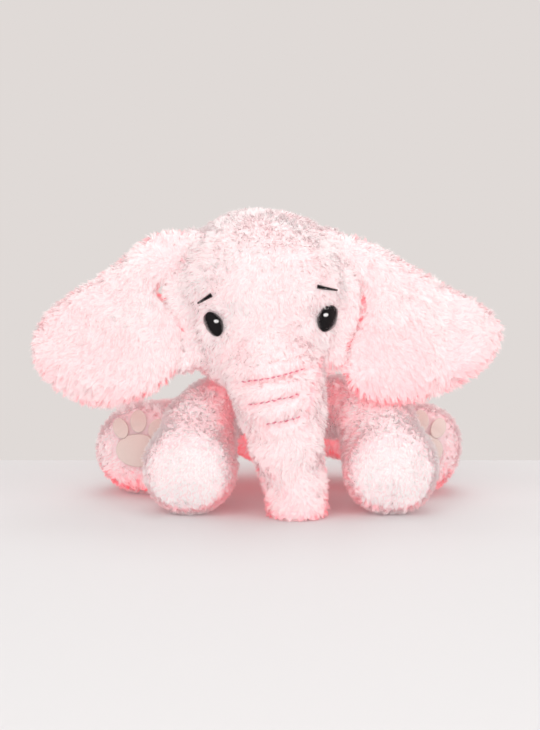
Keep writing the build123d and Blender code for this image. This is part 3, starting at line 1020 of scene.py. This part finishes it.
downwards = steady(0, 0, -1.0)
along_the_leg = steady(0, -0.8, -0.5)
down_the_back = steady(0, 0.5, -0.6)


PARTING = (-1.2 * MM, 3.2 * MM)     # how far under and over a stitched fold the pile parts


def trunk_keep(points, normals):
    """The pile parts over each stitched fold and along the side seam."""
    share = 1 - 0.6 * seam_share(points, normals, TRUNK_SEAM)
    for above, belongs in fold_places(points, normals):
        over = (above > PARTING[0]) & (above < PARTING[1])
        share = np.minimum(share, 1 - 0.85 * over * belongs)
    return share


def trunk_seam_and_painted_fold_shade(points, normals):
    # The side seam is deeper pink; the groove of each stitched fold gets painted shade.
    deeper = 3.0 * seam_share(points, normals, TRUNK_SEAM)
    for above, belongs in fold_places(points, normals):
        deeper += 2.2 * np.exp(-(above / (3.5 * MM)) ** 2) * belongs
    return deeper


def toe_keep(side):
    pads = [f"sole_pad_{side}", f"toe_pads_{side}"]
    return lambda points, normals: 1.0 - near_nodes(points, pads, BARE)


def ear_flow(side):
    root = np.array(pivot(f"ear_{side}_flap"))
    return lambda points, normals: unit(points - root) + DOWN * 0.25


def ear_stretch(side):
    """Longer pile along the bottom of an ear."""
    low, high = (corner.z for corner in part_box(f"ear_{side}_front_panel"))

    def longer(points, normals):
        return 1 + 0.45 * np.clip(1 - (points[:, 2] - low) / (0.25 * (high - low)), 0, 1)

    return longer


def ear_painted_shade(side):
    """Painted shade: pinker along the bottom of an ear, more so on the left one."""
    low, high = (corner.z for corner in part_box(f"ear_{side}_front_panel"))
    deeper = 1.7 if side == "left" else 0.5

    def pinker(points, normals):
        return deeper * np.clip(1 - (points[:, 2] - low) / (0.5 * (high - low)), 0, 1)

    return pinker


def ride(thing, body):
    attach(thing, body)


def halves(name, skin, coat, flow, seed, body, slot, **ways):
    """Pile in two pieces, split at the skin's middle, so that neither piece is too heavy."""
    middle = points_of(skin.data)[:, 0].mean()
    for side, sign in (("left", 1), ("right", -1)):

        def on_side(points, normals, sign=sign):
            return (points[:, 0] - middle) * sign >= 0

        part = faces_kept(skin, f"{name}_{side}_part", on_side)
        part.data.normals_split_custom_set_from_vertices(normals_of(part.data))
        ride(grow(f"{name}_{side}", part, coat, flow, seed + (sign > 0), **ways), body)
        bpy.data.objects.remove(part)


SHADING_FLOOR = 1.0            # half the width of the floor that shades the pile


def search_tree():
    """Everything that can cover or shade the pile: every skin and the floor."""
    mesh = bpy.data.meshes.new("floor")
    corners = [(-1, -1), (1, -1), (1, 1), (-1, 1)]
    mesh.from_pydata([(x * SHADING_FLOOR, y * SHADING_FLOOR, 0) for x, y in corners], [], [(0, 1, 2, 3)])
    floor = new_object("floor", mesh)
    skins = [head, trunk, torso, tail, floor]
    for side in SIDES:
        skins += [*ears[side].values(), *front_legs[side], *hind_legs[side]]
    tree = tree_of(skins)
    bpy.data.objects.remove(floor)
    return tree


def cover_head():
    halves("head_fur", head, Coat(tone=0.8, root=0.4), head_flow, 101, "head", "pale_plush",
           keep=off_the_face, tone=head_tone, inside=tree_of([trunk, torso]))


def cover_trunk():
    fur = grow("trunk_fur", trunk, Coat(tone=1.2, pile=5.6), downwards, 105,
               keep=trunk_keep, tone=trunk_seam_and_painted_fold_shade)
    for piece in (trunk, fur):
        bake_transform(piece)


FOLD_LIFT = 1.4 * MM         # of the stitches over the woven base
FOLD_THREAD = 1.3 * MM
STITCH = 3.6 * MM
STITCH_GAP = 1.0 * MM


def stitch_folds():
    stitches = stitch_line("fold_stitches", FOLDS, tree_of([trunk]),
                           FOLD_LIFT, FOLD_THREAD, STITCH, STITCH_GAP)
    sew(stitches, "trunk_wrinkle_stitches", "trunk_upper")


def cover_ear(side, seed):
    for panel, tone, slot in (("front", 1.1, "pale_plush"), ("back", 3.2, "pink_plush")):
        fur = grow(f"ear_{side}_{panel}_fur", ears[side][panel], Coat(tone=tone, pile=6.6), ear_flow(side),
                   seed + 2 * (panel == "back"), stretch=ear_stretch(side), tone=ear_painted_shade(side))
        ride(fur, f"ear_{side}")


def cover_front_leg(side, seed):
    leg, pad = front_legs[side]
    fur = grow(f"front_leg_{side}_fur", leg, Coat(tone=0.3, painted_shade=3.2), along_the_leg, seed)
    ride(fur, f"front_leg_{side}")
    fur = grow(f"paw_pad_{side}_fur", pad, Coat(tone=0.0, pile=4.2, painted_shade=0.6), downwards, seed + 4)
    ride(fur, f"front_leg_{side}")


def cover_hind_leg(side, seed):
    fur = grow(f"hind_leg_{side}_fur", hind_legs[side][0], Coat(tone=1.0), along_the_leg, seed,
               keep=toe_keep(side))
    ride(fur, f"hind_leg_{side}")


def colour_hidden_parts():
    """Materials for the CAD nodes that show as they are."""
    for node, material in (("closing_seam_stitches", "pink_thread"), ("pellets", "pellet_plastic"),
                           ("pellet_bag", "bag_cloth")):
        data = frame["nodes"][node].data
        data.materials.clear()
        data.materials.append(MATERIALS[material])


MATERIALS = make_materials()
FOLDS = fold_lines()
make_camera()
make_stage()
head = make_head()
trunk = make_trunk()
torso = make_torso()
ears = {side: make_ear(side, 31 + index) for index, side in enumerate(SIDES)}
front_legs = {side: make_leg("front", side, 51 + index) for index, side in enumerate(SIDES)}
hind_legs = {side: make_leg("hind", side, 61 + index) for index, side in enumerate(SIDES)}
tail = make_tail()
make_face()
for side in SIDES:
    make_soles(side)

BODY_TREE = search_tree()
cover_head()
cover_trunk()
stitch_folds()
for index, side in enumerate(SIDES):
    cover_ear(side, 110 + index)
    cover_front_leg(side, 120 + index)
    cover_hind_leg(side, 130 + index)
halves("torso_fur", torso, Coat(tone=2.8), down_the_back, 140, "torso", "pink_plush")
ride(grow("tail_fur", tail, Coat(tone=2.8, pile=4), downwards, 143), "tail")
colour_hidden_parts()
